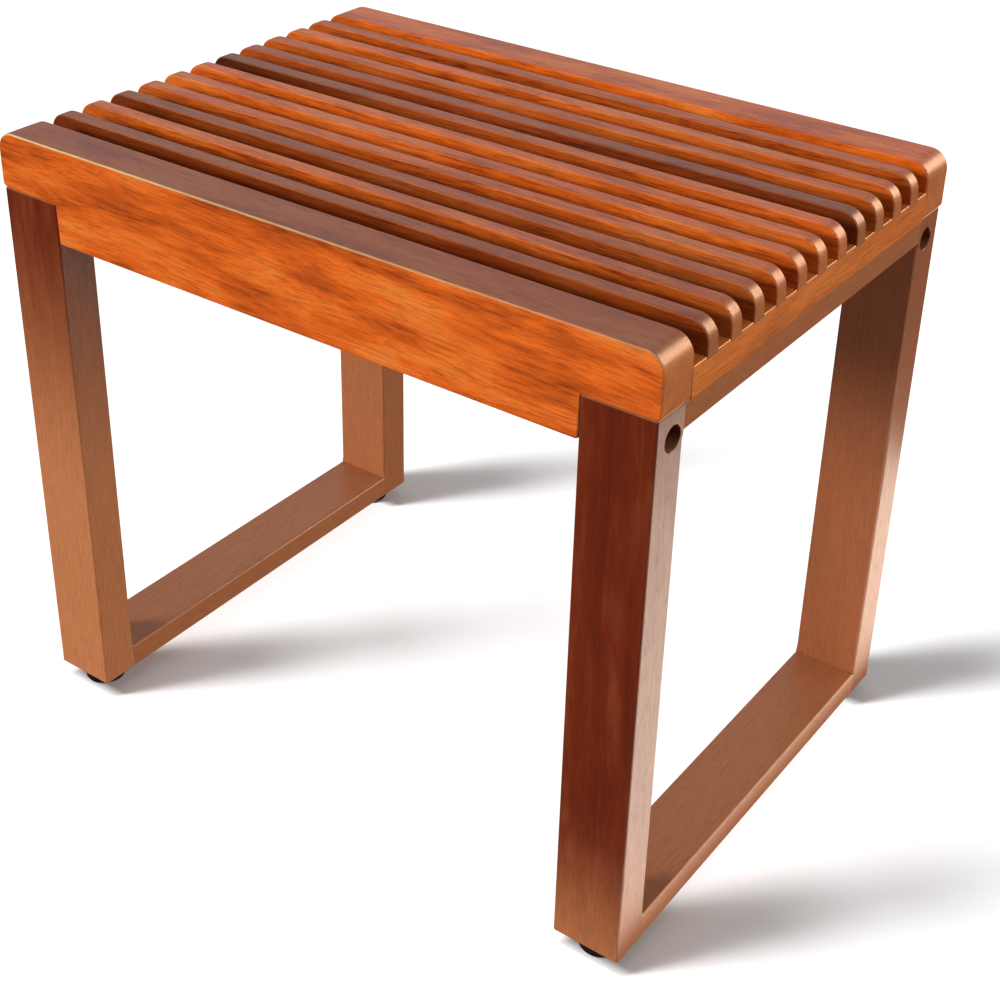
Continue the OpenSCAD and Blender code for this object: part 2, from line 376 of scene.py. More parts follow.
@dataclass(frozen=True)
class Cut:
    """How a board was cut from its log, and how its wood changes from its first end to its last.

    The heart and the slide place the log's rings and figure. The pale and deep pairs hold the share
    of sapwood and of dark heartwood at the two ends, and the arris wear and highlight pair how far the
    arrises are lightened: a painted highlight, partly stain rubbed off. The one end's value gives way
    to the other's at the turn, over the blend, both shares of the length. The top shade is painted
    shade: what faces that look up add to the share of dark heartwood; below zero it takes away, which
    paints light on them.
    """

    run: Run
    heart: tuple[float, float]
    slide: float
    slope: float = 0.02
    pale: tuple[float, float] = (0.0, 0.0)
    deep: tuple[float, float] = (0.0, 0.0)
    turn: float = 0.5
    blend: float = 1.0
    arris_wear_and_highlight: tuple[float, float] = (1.0, 1.0)
    top_shade: float = 0.0

    def mark(self, mesh: bpy.types.Mesh) -> None:
        """Gives a board's points their place in the log and the kind of wood there.

        The first number of the place runs along the grain and the other two give the distance from
        the log's heart, whose line slopes a little through the board. A pair's value goes from its
        first number to its last as a smooth step of the share of the length. The end value is the
        square of the normal's part along the grain. Only arrises that face up keep their painted
        highlight, and faces that look up take the painted top shade.

        Args:
            mesh: the board's mesh, in the stool's own frame.
        """
        points = np.empty(len(mesh.vertices) * 3, np.float32)
        mesh.vertices.foreach_get("co", points)
        points = points.reshape(-1, 3)[:, self.run.value]
        middle = (points.min(0) + points.max(0)) / 2
        along = points[:, 0] - middle[0]
        step = np.clip((self.turn - 0.5 - along / np.ptp(along)) / self.blend + 0.5, 0, 1)
        near_first = step**2 * (3 - 2 * step)
        log = points - middle
        log[:, 1] += self.heart[0] + self.slope * along
        log[:, 2] += self.heart[1] + self.slope * 0.6 * along
        log[:, 0] += self.slide
        normals = np.empty(len(mesh.vertices) * 3, np.float32)
        mesh.vertex_normals.foreach_get("vector", normals)
        normals = normals.reshape(-1, 3)
        end = normals[:, self.run.value[0]] ** 2
        arris = np.empty(len(normals), np.float32)
        mesh.attributes["arris"].data.foreach_get("value", arris)
        # Painted highlight: the lightened arrises are kept only where they face up, towards the lights
        arris *= np.clip(normals[:, 2] * 1.5, 0, 1)
        arris *= self.arris_wear_and_highlight[1] + (self.arris_wear_and_highlight[0] - self.arris_wear_and_highlight[1]) * near_first
        mesh.attributes["arris"].data.foreach_set("value", arris)
        mesh.attributes.new("log", "FLOAT_VECTOR", "POINT").data.foreach_set("vector", log.ravel())
        deep = self.deep[1] + (self.deep[0] - self.deep[1]) * near_first
        # Painted shade on faces that look up, and painted light where the top shade is below zero
        deep += self.top_shade * np.clip(normals[:, 2], 0, 1)
        for name, value in (
            ("pale", self.pale[1] + (self.pale[0] - self.pale[1]) * near_first),
            ("deep", np.clip(deep, 0, 1)),
            ("end", end),
        ):
            mesh.attributes.new(name, "FLOAT", "POINT").data.foreach_set("value", value.astype(np.float32))


@dataclass(frozen=True)
class LacqueredHardwood:
    """Stained acacia, sawn and sanded, under a sprayed satin lacquer.

    The stain leaves a deep orange to red-brown with short darker streaks along the grain, and the
    lacquer lays a soft gloss over all of it.
    """

    name: str
    body: str
    streak: str
    sapwood: str
    heartwood: str = "#34120a"
    end_grain: str = "#b87a4c"
    # Colour and weight of the painted highlight on the eased edges, partly stain rubbed thin
    arris: str = "#d89a60"
    wear_and_highlight: float = 0.2
    rings: float = 0.3
    clouds: float = 0.5
    streaks: float = 0.6
    gold: float = 0.3
    ring_mm: float = 3.2
    roughness: float = 0.36
    coat: float = 0.3

    def material(self) -> bpy.types.Material:
        """Builds the wood's material.

        Returns:
            A material that reads the log, pale, deep, end and arris attributes of a board.
        """
        material, add, feed = blank_material(self.name)
        log = add("ShaderNodeAttribute", take="Vector", attribute_name="log")
        pale, deep, end, arris = (
            add("ShaderNodeAttribute", take="Fac", attribute_name=name)
            for name in ("pale", "deep", "end", "arris")
        )
        # Slow bends in the rings, 2 to 3 mm deep and 100 mm or so long
        slow = add("ShaderNodeVectorMath", {0: log, 1: (7.0, 22.0, 22.0)}, operation="MULTIPLY")
        bend = add("ShaderNodeTexNoise", {"Vector": slow, "Scale": 1.0, "Detail": 2.0}, take="Color")
        bent = add(
            "ShaderNodeVectorMath", {0: bend, 1: (0.0, 0.009, 0.009), 2: log}, operation="MULTIPLY_ADD"
        )
        across = add("ShaderNodeVectorMath", {0: bent, 1: (0.0, 1.0, 1.0)}, operation="MULTIPLY")
        out = add("ShaderNodeVectorMath", {0: across}, take="Value", operation="LENGTH")
        ring_place = add(
            "ShaderNodeCombineXYZ",
            {0: add("ShaderNodeMath", {0: out, 1: 1 / (self.ring_mm * MM)}, operation="MULTIPLY")},
        )
        # Growth rings of uneven width and depth of colour
        figure = {
            "ring": add(
                "ShaderNodeTexNoise",
                {"Vector": ring_place, "Scale": 0.55, "Detail": 3.0, "Roughness": 0.6},
            )
        }
        # Each figure's features to the metre, along the grain and across it: fibres 0.8 mm by 20 mm,
        # streaks 1.2 mm by 28 mm, clouds 16 mm by 80 mm, and pores 0.4 mm by 9 mm
        for name, (length, width, detail) in {
            "fibre": (50, 1250, 3), "streak": (36, 850, 3), "cloud": (12, 60, 3), "pore": (110, 2300, 1),
        }.items():
            place = add("ShaderNodeVectorMath", {0: bent, 1: (length, width, width)}, operation="MULTIPLY")
            figure[name] = add(
                "ShaderNodeTexNoise",
                {"Vector": place, "Scale": 1.0, "Detail": float(detail), "Roughness": 0.6},
            )
        # How far each figure takes the body colour to the streak colour, above its own floor
        share = 0.0
        for name, low, high, weight in (
            ("ring", 0.42, 0.66, self.rings),
            ("cloud", 0.44, 0.66, self.clouds),
            ("streak", 0.48, 0.66, self.streaks),
        ):
            part = add(
                "ShaderNodeMapRange",
                {"Value": figure[name], "From Min": low, "From Max": high, "To Max": weight},
                interpolation_type="SMOOTHSTEP",
            )
            share = add("ShaderNodeMath", {0: share, 1: part}, operation="ADD", use_clamp=True)
        gold = add(
            "ShaderNodeMapRange",
            {"Value": figure["cloud"], "From Min": 0.48, "From Max": 0.34, "To Max": self.gold},
        )
        # Painted highlight along the eased edges, partly where the stain is rubbed thin
        wear_and_highlight = add("ShaderNodeMath", {0: arris, 1: 1.8}, operation="POWER")
        pores = add("ShaderNodeMapRange", {"Value": figure["pore"], "From Min": 0.60, "From Max": 0.72})
        shade = add(
            "ShaderNodeMapRange",
            {"Value": figure["fibre"], "From Min": 0.3, "From Max": 0.7, "To Min": 0.84, "To Max": 1.14},
        )
        # From the body: golden patches, streaks, sapwood (on the legs partly painted light from the floor),
        # heartwood (with painted shade on faces that look up and in the bolt holes, and painted light on the
        # slats' tops), end grain that takes the stain unevenly, pores, and arrises lightened by a painted
        # highlight, partly where the stain is rubbed thin
        wood = linear(self.body)
        for amount, weight, colour in (
            (gold, 1.0, self.sapwood), (share, 1.0, self.streak), (pale, 1.0, self.sapwood),
            (deep, 1.0, self.heartwood), (end, 0.6, self.end_grain), (pores, 0.35, self.heartwood),
            (wear_and_highlight, self.wear_and_highlight, self.arris),
        ):
            part = add("ShaderNodeMath", {0: amount, 1: weight}, operation="MULTIPLY")
            wood = add("ShaderNodeMix", {0: part, 6: wood, 7: linear(colour)}, take=2, data_type="RGBA")
        wood = add(
            "ShaderNodeMix", {0: 1.0, 6: wood, 7: shade}, take=2, data_type="RGBA", blend_type="MULTIPLY"
        )
        gloss = add(
            "ShaderNodeMapRange",
            {
                "Value": figure["fibre"], "From Min": 0.3, "From Max": 0.7,
                "To Min": self.roughness + 0.06, "To Max": self.roughness - 0.04,
            },
        )
        dull = add("ShaderNodeMath", {0: pores, 1: 0.2, 2: gloss}, operation="MULTIPLY_ADD")
        relief = add("ShaderNodeMath", {0: pores, 1: -1.5, 2: figure["fibre"]}, operation="MULTIPLY_ADD")
        bump = add("ShaderNodeBump", {"Height": relief, "Strength": 0.25, "Distance": 0.0001})
        feed(
            Base_Color=wood, Roughness=dull, Normal=bump, IOR=1.5,
            Coat_Weight=self.coat, Coat_Roughness=0.25,
        )
        return material


@dataclass(frozen=True)
class TurnedBeech:
    """Unfinished beech dowel: pale and fine-grained, with short darker flecks along it."""

    name: str = "turned_beech"
    body: str = "#d9b98c"
    fleck: str = "#b48a5a"

    def material(self) -> bpy.types.Material:
        """Builds the beech, whose dowels lie along the stool's depth."""
        material, add, feed = blank_material(self.name)
        place = add("ShaderNodeTexCoord", take="Object")
        # Flecks 0.5 mm wide and 3 mm long
        long_grain = add("ShaderNodeMapping", {0: place, 3: (2000, 330, 2000)})
        fleck = add("ShaderNodeTexNoise", {"Vector": long_grain, "Scale": 1.0, "Detail": 2.0})
        wood = add(
            "ShaderNodeMix",
            {0: fleck, 6: linear(self.body), 7: linear(self.fleck)},
            take=2, data_type="RGBA",
        )
        bump = add("ShaderNodeBump", {"Height": fleck, "Strength": 0.3, "Distance": 0.0001})
        feed(Base_Color=wood, Normal=bump, Roughness=0.65)
        return material


@dataclass(frozen=True)
class TurnedMetal:
    """Small metal part, turned and plated: bright, with faint tool marks and a cloudy bloom."""

    name: str
    body: str
    bloom: str
    roughness: float

    def material(self) -> bpy.types.Material:
        """Builds the metal."""
        material, add, feed = blank_material(self.name)
        place = add("ShaderNodeTexCoord", take="Object")
        # Bloom in patches of about 2 mm
        cloud = add("ShaderNodeTexNoise", {"Vector": place, "Scale": 500.0, "Detail": 3.0})
        # Tool marks 0.25 mm apart, across the part's height
        marks = add("ShaderNodeMapping", {0: place, 3: (300, 300, 4000)})
        mark = add("ShaderNodeTexNoise", {"Vector": marks, "Scale": 1.0, "Detail": 1.0})
        colour = add(
            "ShaderNodeMix",
            {0: cloud, 6: linear(self.body), 7: linear(self.bloom)},
            take=2, data_type="RGBA",
        )
        gloss = add(
            "ShaderNodeMapRange",
            {"Value": cloud, "To Min": self.roughness - 0.08, "To Max": self.roughness + 0.12},
        )
        bump = add("ShaderNodeBump", {"Height": mark, "Strength": 0.2, "Distance": 0.00005})
        feed(Base_Color=colour, Roughness=gloss, Normal=bump, Metallic=1.0)
        return material


@dataclass(frozen=True)
class MouldedNylon:
    """Black moulded nylon: near-black with a fine even grain that dulls its shine, scuffed a little grey."""

    name: str = "moulded_black_nylon"
    body: str = "#141414"
    scuff: str = "#2c2b2a"

    def material(self) -> bpy.types.Material:
        """Builds the nylon."""
        material, add, feed = blank_material(self.name)
        place = add("ShaderNodeTexCoord", take="Object")
        # Mould grain of 0.4 mm, and scuffs of 4 mm
        grain = add("ShaderNodeTexNoise", {"Vector": place, "Scale": 2500.0, "Detail": 2.0})
        rub = add("ShaderNodeTexNoise", {"Vector": place, "Scale": 250.0, "Detail": 3.0})
        wear_and_highlight = add("ShaderNodeMapRange", {"Value": rub, "From Min": 0.55, "From Max": 0.75})
        colour = add(
            "ShaderNodeMix",
            {0: wear_and_highlight, 6: linear(self.body), 7: linear(self.scuff)},
            take=2, data_type="RGBA",
        )
        gloss = add("ShaderNodeMapRange", {"Value": grain, "To Min": 0.42, "To Max": 0.62})
        bump = add("ShaderNodeBump", {"Height": grain, "Strength": 0.35, "Distance": 0.00008})
        feed(Base_Color=colour, Roughness=gloss, Normal=bump)
        return material


@dataclass
class Workshop:
    """The finishes, each made once, and the way a finished piece joins the stool."""

    made: dict[str, bpy.types.Material] = field(default_factory=dict)

    def finish(self, kind) -> bpy.types.Material:
        """The material of a finish, made the first time it is asked for."""
        if kind.name not in self.made:
            self.made[kind.name] = kind.material()
        return self.made[kind.name]

    def place(self, mesh: bpy.types.Mesh, kind, body: str, slot: str, nodes: list[str]) -> bpy.types.Object:
        """Puts a finished mesh on the stool.

        Args:
            mesh: the mesh, in the stool's own frame.
            kind: its finish.
            body: CAD body that it moves with.
            slot: the record's material slot; not used.
            nodes: CAD nodes that it stands for.

        Returns:
            The new piece.
        """
        piece = bpy.data.objects.new(mesh.name, mesh)
        bpy.context.scene.collection.objects.link(piece)
        mesh.materials.append(self.finish(kind))
        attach(piece, body)
        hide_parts(*nodes)
        LOG.info("%s: %d faces on %s", piece.name, len(mesh.polygons), body)
        return piece

    def dress(self, node: bpy.types.Object, kind) -> None:
        """Gives a CAD node that keeps its own shape its finish.

        Args:
            node: the CAD node's object.
            kind: its finish.
        """
        for place in node.material_slots:
            place.material = self.finish(kind)
        LOG.info("%s: dressed as %s", node.name, kind.name)


# The side rails' cream arris colour paints a bright highlight along their eased edges, partly rubbed stain
SIDE_RAIL_WOOD = LacqueredHardwood(
    "lacquered_acacia_side_rail", "#de661a", "#8c340c", "#e08a3c", arris="#ffe0a0", wear_and_highlight=0.85,
    rings=0.1, clouds=0.55, streaks=0.42, gold=0.5,
)
SLAT_WOOD = LacqueredHardwood(
    "lacquered_acacia_slat", "#e06a1e", "#7c260c", "#d89450", wear_and_highlight=0.07,
    rings=0.2, clouds=0.35, streaks=0.5, gold=0.25,
)
DARK_SLAT_WOOD = LacqueredHardwood(
    "lacquered_acacia_dark_slat", "#bc541e", "#642410", "#a8602c", wear_and_highlight=0.07,
    rings=0.2, clouds=0.35, streaks=0.5,
)
FRAME_WOOD = LacqueredHardwood(
    "lacquered_acacia_frame", "#6a240c", "#481608", "#b8744a", wear_and_highlight=0.1,
    clouds=0.3, streaks=0.2, gold=0.1, coat=0.1,
)
BEECH = TurnedBeech()
ZINC = TurnedMetal("zinc_plated_steel", "#c4c8cc", "#9aa0a6", 0.32)
BRASS = TurnedMetal("turned_brass", "#c9a24a", "#a8832f", 0.3)
NYLON = MouldedNylon()


# ---- Seat ----


@dataclass
class SideRail:
    """A thick board under which the legs stand, notched over them and rounded at its upper ends."""

    node: str
    leg: str
    cut: Cut
    end_radius: float = 12 * MM
    foot_radius: float = 3 * MM
    heel_radius: float = 2 * MM
    ease: float = 1.5 * MM
    gap: float = 0.15 * MM

    def build(self, workshop: Workshop) -> None:
        """Builds the rail.

        Args:
            workshop: where its finish comes from.
        """
        low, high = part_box(self.node)
        leg_low, leg_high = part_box(self.leg)
        notch = min(abs(leg_low.x), abs(leg_high.x)) - self.gap
        shoulder = leg_high.z
        corners = np.array(
            [
                (-notch, low.z), (notch, low.z), (notch, shoulder), (high.x, shoulder),
                (high.x, high.z), (low.x, high.z), (low.x, shoulder), (-notch, shoulder),
            ]
        )
        hollow = 0.4 * MM
        radii = np.array(
            [
                self.heel_radius, self.heel_radius, hollow, self.foot_radius,
                self.end_radius, self.end_radius, self.foot_radius, hollow,
            ]
        )
        outline = round_corners(corners, radii, 10)
        ease = np.minimum(self.ease, radii)[outline.corner]
        mesh = eased_slab(outline, low.y, high.y, ease, (0, 2, 1)).mesh(self.node + "_board")
        self.cut.mark(mesh)
        workshop.place(mesh, SIDE_RAIL_WOOD, "stool", "side_rail_wood", [self.node])


@dataclass
class Slat:
    """A narrow slat on edge, with rounded upper ends and eased upper edges."""

    node: str
    cut: Cut
    wood: LacqueredHardwood
    slot: str
    end_radius: float = 12 * MM
    ease: float = 1.3 * MM
    foot: float = 0.06 * MM

    def build(self, workshop: Workshop) -> None:
        """Builds the slat.

        Args:
            workshop: where its finish comes from.
        """
        low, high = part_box(self.node)
        corners = np.array([(low.x, low.z), (high.x, low.z), (high.x, high.z), (low.x, high.z)])
        radii = np.array([self.foot, self.foot, self.end_radius, self.end_radius])
        outline = round_corners(corners, radii, 10)
        ease = np.array([self.foot, self.foot, self.ease, self.ease])[outline.corner]
        mesh = eased_slab(outline, low.y, high.y, ease, (0, 2, 1)).mesh(self.node + "_board")
        self.cut.mark(mesh)
        workshop.place(mesh, self.wood, "stool", self.slot, [self.node])


@dataclass
class EndRail:
    """A cross rail under the slat ends, housed for each slat."""

    node: str
    cut: Cut
    land: float = 0.8 * MM
    tight: float = 0.06 * MM

    def build(self, workshop: Workshop) -> None:
        """Builds the rail, with its housings cut to the slats.

        Args:
            workshop: where its finish comes from.
        """
        low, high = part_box(self.node)
        slats = [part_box(f"slat_{number:02d}") for number in range(SLAT_COUNT, 0, -1)]
        housings = np.array(
            [
                [(top.y, high.z), (top.y, base.z), (base.y, base.z), (base.y, high.z)]
                for base, top in slats
            ]
        ).reshape(-1, 2)
        corners = np.concatenate(
            [[(low.y, low.z), (high.y, low.z), (high.y, high.z)], housings, [(low.y, high.z)]]
        )
        raised = np.isclose(corners[:, 1], high.z)
        radii = np.where(raised, self.land, self.tight)
        outline = round_corners(corners, radii, 4)
        ease = radii[outline.corner]
        # Corners come as two feet, an upper one, four to a housing, and the last upper one. The land
        # between two housings is closed on its own, which leaves a plain bar below.
        lands, bar = [], np.arange(len(outline.points))
        for first in range(6, len(corners) - 1, 4)[:-1]:
            land = np.flatnonzero((outline.corner == first) | (outline.corner == first + 1))
            lands.append(np.concatenate([[land[0] - 1], land, [land[-1] + 1]]))
            bar = np.setdiff1d(bar, land)
        mesh = eased_slab(outline, low.x, high.x, ease, (1, 2, 0), [bar, *lands]).mesh(self.node + "_board")
        self.cut.mark(mesh)
        workshop.place(mesh, SLAT_WOOD, "stool", "slat_wood", [self.node])


@dataclass
class Seat:
    """Side rails, end rails and slats."""

    seed: int = 7
    dark_slat: int = 8
    # Below zero: painted light on the slats' upward faces, which lose some of their heartwood share
    slat_top_shade: float = -0.2

    def build(self, workshop: Workshop) -> None:
        """Builds the whole seat.

        Args:
            workshop: where the finishes come from.
        """
        # The front rail's painted edge highlight fades to half at its right end, and its upward faces take
        # painted shade
        front = Cut(Run.LENGTH, (0.052, 0.018), 0.13, 0.035, arris_wear_and_highlight=(1.0, 0.5), top_shade=0.55)
        back = Cut(Run.LENGTH, (0.060, -0.030), 1.71, -0.03, arris_wear_and_highlight=(0.1, 0.1))
        SideRail("front_rail", "leg_front_left", front).build(workshop)
        SideRail("back_rail", "leg_back_left", back).build(workshop)
        for number, side in enumerate(SIDES):
            EndRail(
                f"end_rail_{side}", Cut(Run.DEPTH, (0.045, 0.03), 3.1 + number, 0.02, (0.3, 0.3))
            ).build(workshop)
        # Share of dark heartwood at each slat's left and right end, from the front slat to the back
        deep = (
            (0.8, 0.7), (0.15, 0.5), (0.75, 0.55), (0.3, 0.35), (0.1, 0.2), (0.1, 0.25),
            (0.95, 0.15), (0.15, 0.75), (0.4, 0.4), (0.15, 0.35), (0.45, 0.45),
        )
        chance = np.random.default_rng(self.seed)
        for number, ends in enumerate(deep, 1):
            heart = tuple(chance.uniform(0.02, 0.07, 2).tolist())
            slope = float(chance.uniform(-0.04, 0.04))
            cut = Cut(Run.LENGTH, heart, float(number), slope, deep=ends, top_shade=self.slat_top_shade)
            dark = number == self.dark_slat
            wood, slot = (DARK_SLAT_WOOD, "dark_slat_wood") if dark else (SLAT_WOOD, "slat_wood")
            Slat(f"slat_{number:02d}", cut, wood, slot).build(workshop)


# ---- Leg frames ----


@dataclass
class CrossMember:
    """A flat rail across a leg frame, butted between its legs."""

    node: str
    cut: Cut
    ease: float = 1.5 * MM
    tight: float = 0.1 * MM

    def build(self, workshop: Workshop) -> None:
        """Builds the member.

        Args:
            workshop: where its finish comes from.
        """
        low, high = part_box(self.node)
        corners = np.array([(low.x, low.z), (high.x, low.z), (high.x, high.z), (low.x, high.z)])
        outline = round_corners(corners, np.full(4, self.ease), 6)
        ease = np.full(len(outline.points), self.tight)
        mesh = eased_slab(outline, low.y, high.y, ease, (0, 2, 1)).mesh(self.node + "_board")
        arris = np.tile(np.sin(2 * np.linspace(0, np.pi / 2, 7)), 4)
        rows = len(mesh.vertices) // len(arris)
        mesh.attributes["arris"].data.foreach_set("value", np.tile(arris, rows).astype(np.float32))
        self.cut.mark(mesh)
        workshop.place(mesh, FRAME_WOOD, "stool", "frame_wood", [self.node])


@dataclass
class Leg:
    """A leg with eased edges that run out where the cross members meet it, and a bolt hole near its top.

    Its underside is one whole face: the foot's socket, which the CAD leg has, isn't cut here.
    """

    corner: str
    cut: Cut
    ease: float = 1.5 * MM
    tight: float = 0.15 * MM
    end_ease: float = 1.1 * MM
    run_out: float = 5 * MM
    hole_radius: float = 7.5 * MM
    hole_depth: float = 14 * MM
    hole_from_face: float = 16 * MM
    hole_from_top: float = 16.5 * MM
    mouth: float = 0.5 * MM
    arc_steps: int = 5
    spare_columns: int = 11
    hole_rows: int = 12

    def _rows(self, low: float, high: float, member: float, hole_z: float) -> np.ndarray:
        """Heights at which the leg's section is drawn, closer together at the ends, run-outs and hole.

        Args:
            low: height of the leg's foot.
            high: height of its top.
            member: height of a cross member.
            hole_z: height of the hole's axis.

        Returns:
            The heights, rising.
        """
        band = 10.5 * MM
        around = np.linspace(hole_z - band, hole_z + band, self.hole_rows + 1)
        fade = np.linspace(0, self.run_out, 5)
        between = np.linspace(low + member + 2 * self.run_out, high - member - 2 * self.run_out, 12)
        return np.unique(
            np.round(
                np.concatenate(
                    [
                        [low + self.end_ease, high - self.end_ease],
                        low + member + fade,
                        high - member - fade,
                        between,
                        around,
                    ]
                ),
                7,
            )
        )

    def build(self, workshop: Workshop) -> None:
        """Builds the leg.

        A section is a rectangle with a round corner at each of its four edges. It is carried up the
        leg; the radius of the two inner edges is a smooth step of the height, and at both ends the
        whole section draws in by the end ease times one less sin a. Round the hole, the squares of the
        outer face are left out and a ring joins the edge of that window to the hole's mouth.

        Args:
            workshop: where its finish comes from.
        """
        node = f"leg_{self.corner}"
        side = self.corner.split("_")[1]
        low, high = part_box(node)
        member_low, member_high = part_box(f"stretcher_{side}")
        member = member_high.z - member_low.z
        middle = (low + high) / 2
        half_x, half_y = (high.x - low.x) / 2, (high.y - low.y) / 2
        out_x, out_y = math.copysign(1, middle.x), math.copysign(1, middle.y)
        hole_z = high.z - self.hole_from_top
        hole_y = half_y - self.hole_from_face

        heights = self._rows(low.z, high.z, member, hole_z)
        angle = np.linspace(0, np.pi / 2, self.arc_steps + 1)
        draw_in, climb = self.end_ease * (1 - np.sin(angle)), self.end_ease * (1 - np.cos(angle))
        z = np.concatenate([low.z + climb[:-1], heights, (high.z - climb[:-1])[::-1]])
        inset = np.concatenate([draw_in[:-1], heights * 0, draw_in[:-1][::-1]])
        tilt = np.concatenate([np.cos(angle[:-1]) * -1, heights * 0, np.cos(angle[:-1])[::-1]])

        clear = np.minimum(z - low.z - member, high.z - member - z) / self.run_out
        clear = np.clip(clear, 0, 1)
        inner = self.tight + (self.ease - self.tight) * clear**2 * (3 - 2 * clear)
        outer = np.full_like(inner, self.ease)
        radii = np.stack([inner, outer, outer, inner], 1)
        drawn = np.maximum(radii - inset[:, None], 0.05 * MM)
        size = np.stack([half_x - inset, half_y - inset], 1)
        signs = np.array([(1, -1), (1, 1), (-1, 1), (-1, -1)])
        start = np.array([-1, 0, 1, 2]) * np.pi / 2
        sweep = start[:, None] + angle
        facing = np.stack([np.cos(sweep), np.sin(sweep)], -1)
        centre = signs * (size[:, None] - drawn[..., None])
        arcs = centre[:, :, None] + facing * drawn[:, :, None, None]
        rounded = np.sin(2 * angle) * (radii / self.ease)[..., None]

        first, second = arcs[:, 0, -1], arcs[:, 1, 0]
        share = (np.arange(1, self.spare_columns + 1) / (self.spare_columns + 1))[None, :, None]
        spare = first[:, None] + (second - first)[:, None] * share
        count = len(z)
        flat = np.concatenate([arcs[:, 0], spare, arcs[:, 1:].reshape(count, -1, 2)], 1)
        spare = np.tile([1.0, 0.0], (self.spare_columns, 1))
        aside = np.concatenate([facing[0], spare, facing[1:].reshape(-1, 2)])
        # Where the painted edge highlight goes: the rounded edges and the eased ends
        wear_and_highlight = np.concatenate(
            [rounded[:, 0], np.zeros((count, self.spare_columns)), rounded[:, 1:].reshape(count, -1)], 1
        )
        wear_and_highlight = np.maximum(wear_and_highlight, (np.sqrt(1 - tilt**2) * np.abs(tilt) * 2)[:, None])

        def world(local: np.ndarray) -> np.ndarray:
            """Turns outward x, outward y and height to the stool's frame."""
            return np.stack(
                [middle.x + out_x * local[..., 0], middle.y + out_y * local[..., 1], local[..., 2]], -1
            )

        def facing_out(local: np.ndarray) -> np.ndarray:
            """Turns a direction in the same way."""
            return local * (out_x, out_y, 1)

        points = np.concatenate([flat, np.broadcast_to(z[:, None, None], (*flat.shape[:2], 1))], -1)
        upright = np.sqrt(1 - tilt**2)[:, None, None] * aside
        normals = np.concatenate([upright, np.broadcast_to(tilt[:, None, None], (*flat.shape[:2], 1))], -1)
        surface = Surface()
        index = surface.add_points(world(points), wear_and_highlight)
        wrapped = np.concatenate([index, index[:, :1]], 1)
        turned = facing_out(np.concatenate([normals, normals[:, :1]], 1))

        left_column = self.arc_steps
        right_column = left_column + self.spare_columns + 1
        band = np.flatnonzero(np.abs(z - hole_z) < 10.5 * MM + 1e-6)
        bottom, top = band[0], band[-1]
        skip = np.zeros((count - 1, wrapped.shape[1] - 1), bool)
        skip[bottom:top, left_column:right_column] = True
        surface.add_grid(wrapped, turned, skip)
        surface.add_faces(index[:1], np.array([0.0, 0.0, -1.0]))
        surface.add_faces(index[-1:], np.array([0.0, 0.0, 1.0]))

        window = np.concatenate(
            [
                index[bottom, left_column:right_column],
                index[bottom:top, right_column],
                index[top, right_column:left_column:-1],
                index[top:bottom:-1, left_column],
            ]
        )
        edge = np.concatenate(surface.points)[window]
        bearing = np.arctan2(edge[:, 2] - hole_z, (edge[:, 1] - middle.y) * out_y - hole_y)
        ring = np.stack([np.zeros_like(bearing), np.cos(bearing), np.sin(bearing)], -1)
        opening = self.mouth * (1 - np.sin(angle))
        reach = np.concatenate([self.hole_radius + opening, [self.hole_radius]])
        depth = np.concatenate([self.mouth * (1 - np.cos(angle)), [self.hole_depth]])
        hole = ring * reach[:, None, None] + np.array([half_x, hole_y, hole_z])
        hole[..., 0] -= depth[:, None]
        lean = np.concatenate([np.sin(angle), [1.0]])[:, None, None]
        rise = np.concatenate([np.cos(angle), [0.0]])[:, None, None]
        inward = facing_out(-ring * lean + np.array([1.0, 0.0, 0.0]) * rise)
        # Painted highlight round the hole's mouth
        mouth_wear_and_highlight = np.concatenate([np.sin(2 * angle) * 0.5, [0.0]])[:, None]
        well = surface.add_points(world(hole), np.broadcast_to(mouth_wear_and_highlight, hole.shape[:2]))
        outward = facing_out(np.array([1.0, 0.0, 0.0]))
        collar = np.stack([window, well[0]])
        collar = np.concatenate([collar, collar[:, :1]], 1)
        surface.add_grid(collar, np.broadcast_to(outward, (*collar.shape, 3)))
        well_closed = np.concatenate([well, well[:, :1]], 1)
        surface.add_grid(well_closed, np.concatenate([inward, inward[:, :1]], 1))
        surface.add_faces(well[-1:], outward)

        mesh = surface.mesh(node + "_board")
        self.cut.mark(mesh)
        # The drilled hole's wall is painted dark: painted shade inside the hole
        for name, value in (("pale", 0.0), ("deep", 0.6)):
            shares = np.empty(len(mesh.vertices), np.float32)
            mesh.attributes[name].data.foreach_get("value", shares)
            shares[well[1:]] = value
            mesh.attributes[name].data.foreach_set("value", shares)
        workshop.place(mesh, FRAME_WOOD, "stool", "frame_wood", [node])


